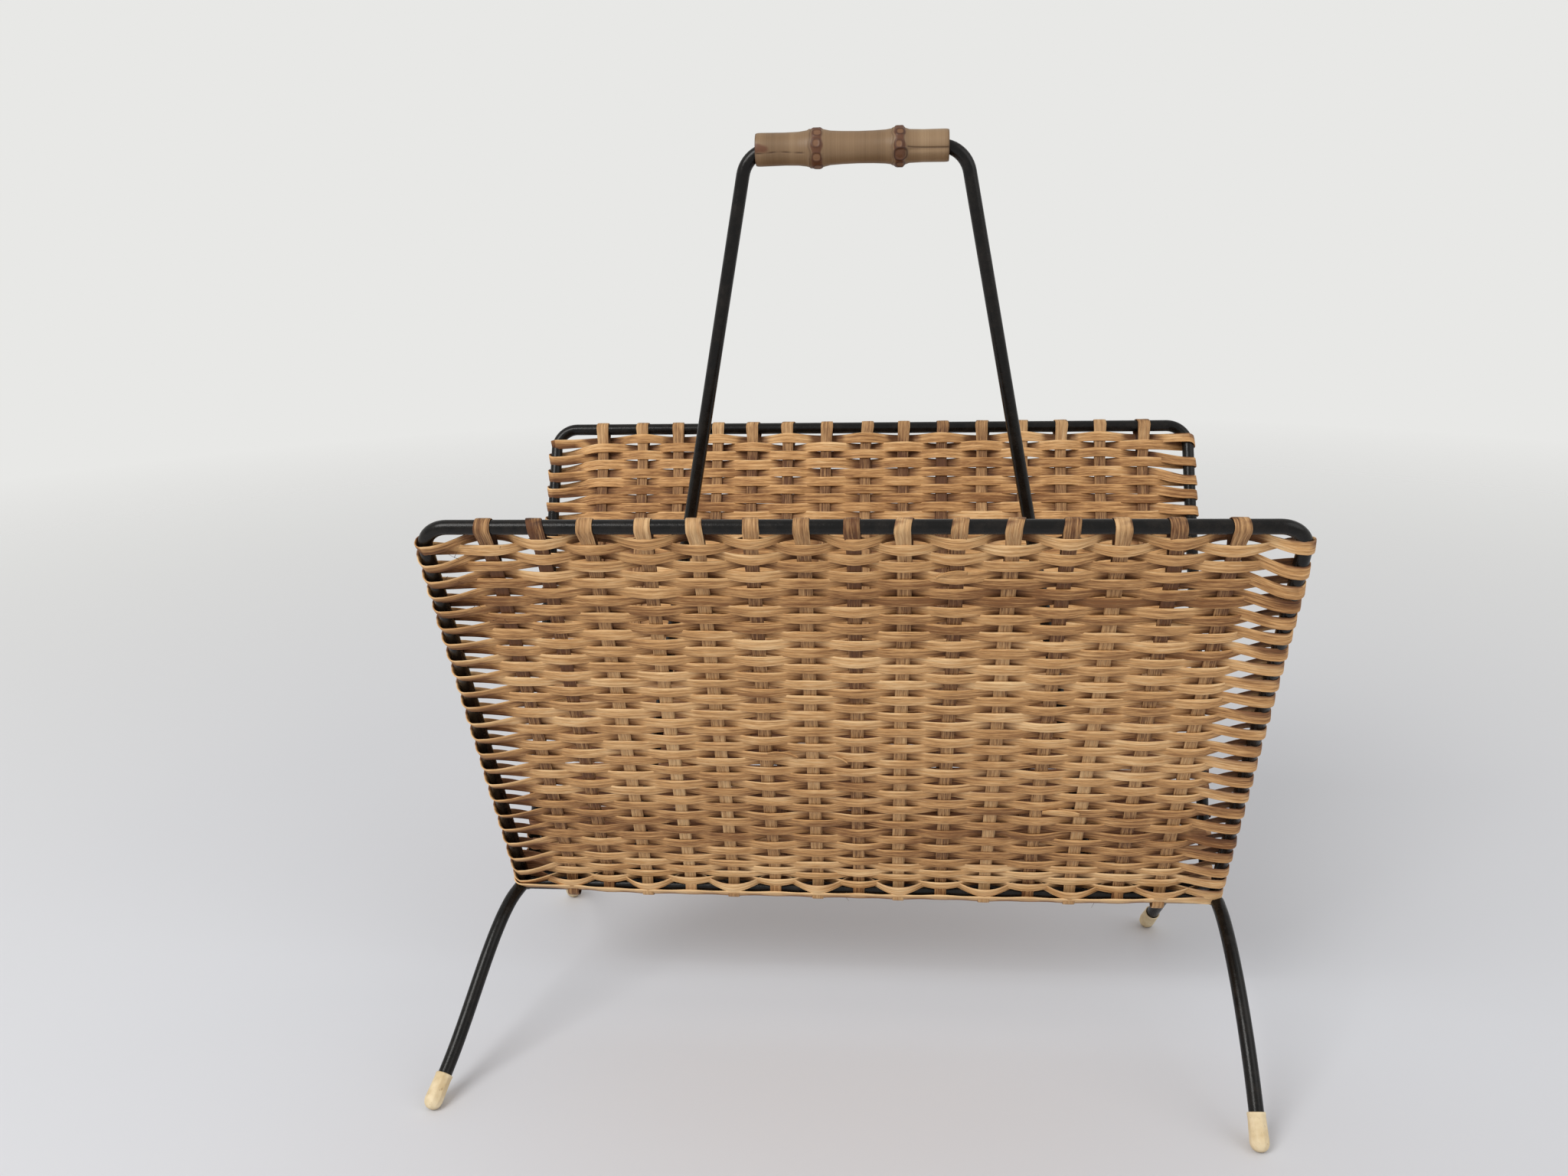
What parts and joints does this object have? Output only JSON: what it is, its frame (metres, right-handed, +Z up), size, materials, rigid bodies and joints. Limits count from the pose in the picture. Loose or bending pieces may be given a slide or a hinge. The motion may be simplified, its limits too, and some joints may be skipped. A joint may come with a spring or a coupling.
{
  "type": "magazine basket",
  "caption": "V-shaped floor magazine basket: woven reed panels in bent black rod frames on splayed bow legs, with a rod bail and a bamboo roller grip",
  "frame": {"origin": "on the floor, in the middle of the outer bounds; the rack's own middle plane is 13.1 mm towards +X of it, because the hand-bent legs reach further out on the left", "axes": "+Z up; +X to the right along the rails; +Y from the front panel to the back panel, so the front panel faces -Y"},
  "size_m": [0.452, 0.2718, 0.5115],
  "materials": {
    "black_lacquer": "black semi-gloss paint on bent steel rod",
    "reed_weave": "bare flat reed, straw to honey colour, woven",
    "reed_stake": "bare flat reed, brown, finely ribbed lengthwise",
    "bamboo": "bare bamboo cane, greyed, with brown nodes",
    "ivory_rubber": "ivory moulded rubber, matt"
  },
  "bodies": {
    "rack": {"front_panel_frame": "black_lacquer", "back_panel_frame": "black_lacquer", "front_leg_bow": "black_lacquer", "back_leg_bow": "black_lacquer", "bail": "black_lacquer", "front_left_foot_cap": "ivory_rubber", "front_right_foot_cap": "ivory_rubber", "back_left_foot_cap": "ivory_rubber", "back_right_foot_cap": "ivory_rubber", "front_woven_mat": "reed_weave", "back_woven_mat": "reed_weave", "front_stake_01": "reed_stake", "front_stake_02": "reed_stake", "front_stake_03": "reed_stake", "front_stake_04": "reed_stake", "front_stake_05": "reed_stake", "front_stake_06": "reed_stake", "front_stake_07": "reed_stake", "front_stake_08": "reed_stake", "front_stake_09": "reed_stake", "front_stake_10": "reed_stake", "front_stake_11": "reed_stake", "front_stake_12": "reed_stake", "front_stake_13": "reed_stake", "front_stake_14": "reed_stake", "front_stake_15": "reed_stake", "back_stake_01": "reed_stake", "back_stake_02": "reed_stake", "back_stake_03": "reed_stake", "back_stake_04": "reed_stake", "back_stake_05": "reed_stake", "back_stake_06": "reed_stake", "back_stake_07": "reed_stake", "back_stake_08": "reed_stake", "back_stake_09": "reed_stake", "back_stake_10": "reed_stake", "back_stake_11": "reed_stake", "back_stake_12": "reed_stake", "back_stake_13": "reed_stake", "back_stake_14": "reed_stake", "back_stake_15": "reed_stake"},
    "grip": {"bamboo_grip": "bamboo"}
  },
  "joints": [
    {"name": "grip_spin", "type": "hinge", "parent": "rack", "child": "grip", "pos_m": [0.00962, 0, 0.502], "axis": [1, 0, 0], "continuous": true}
  ]
}
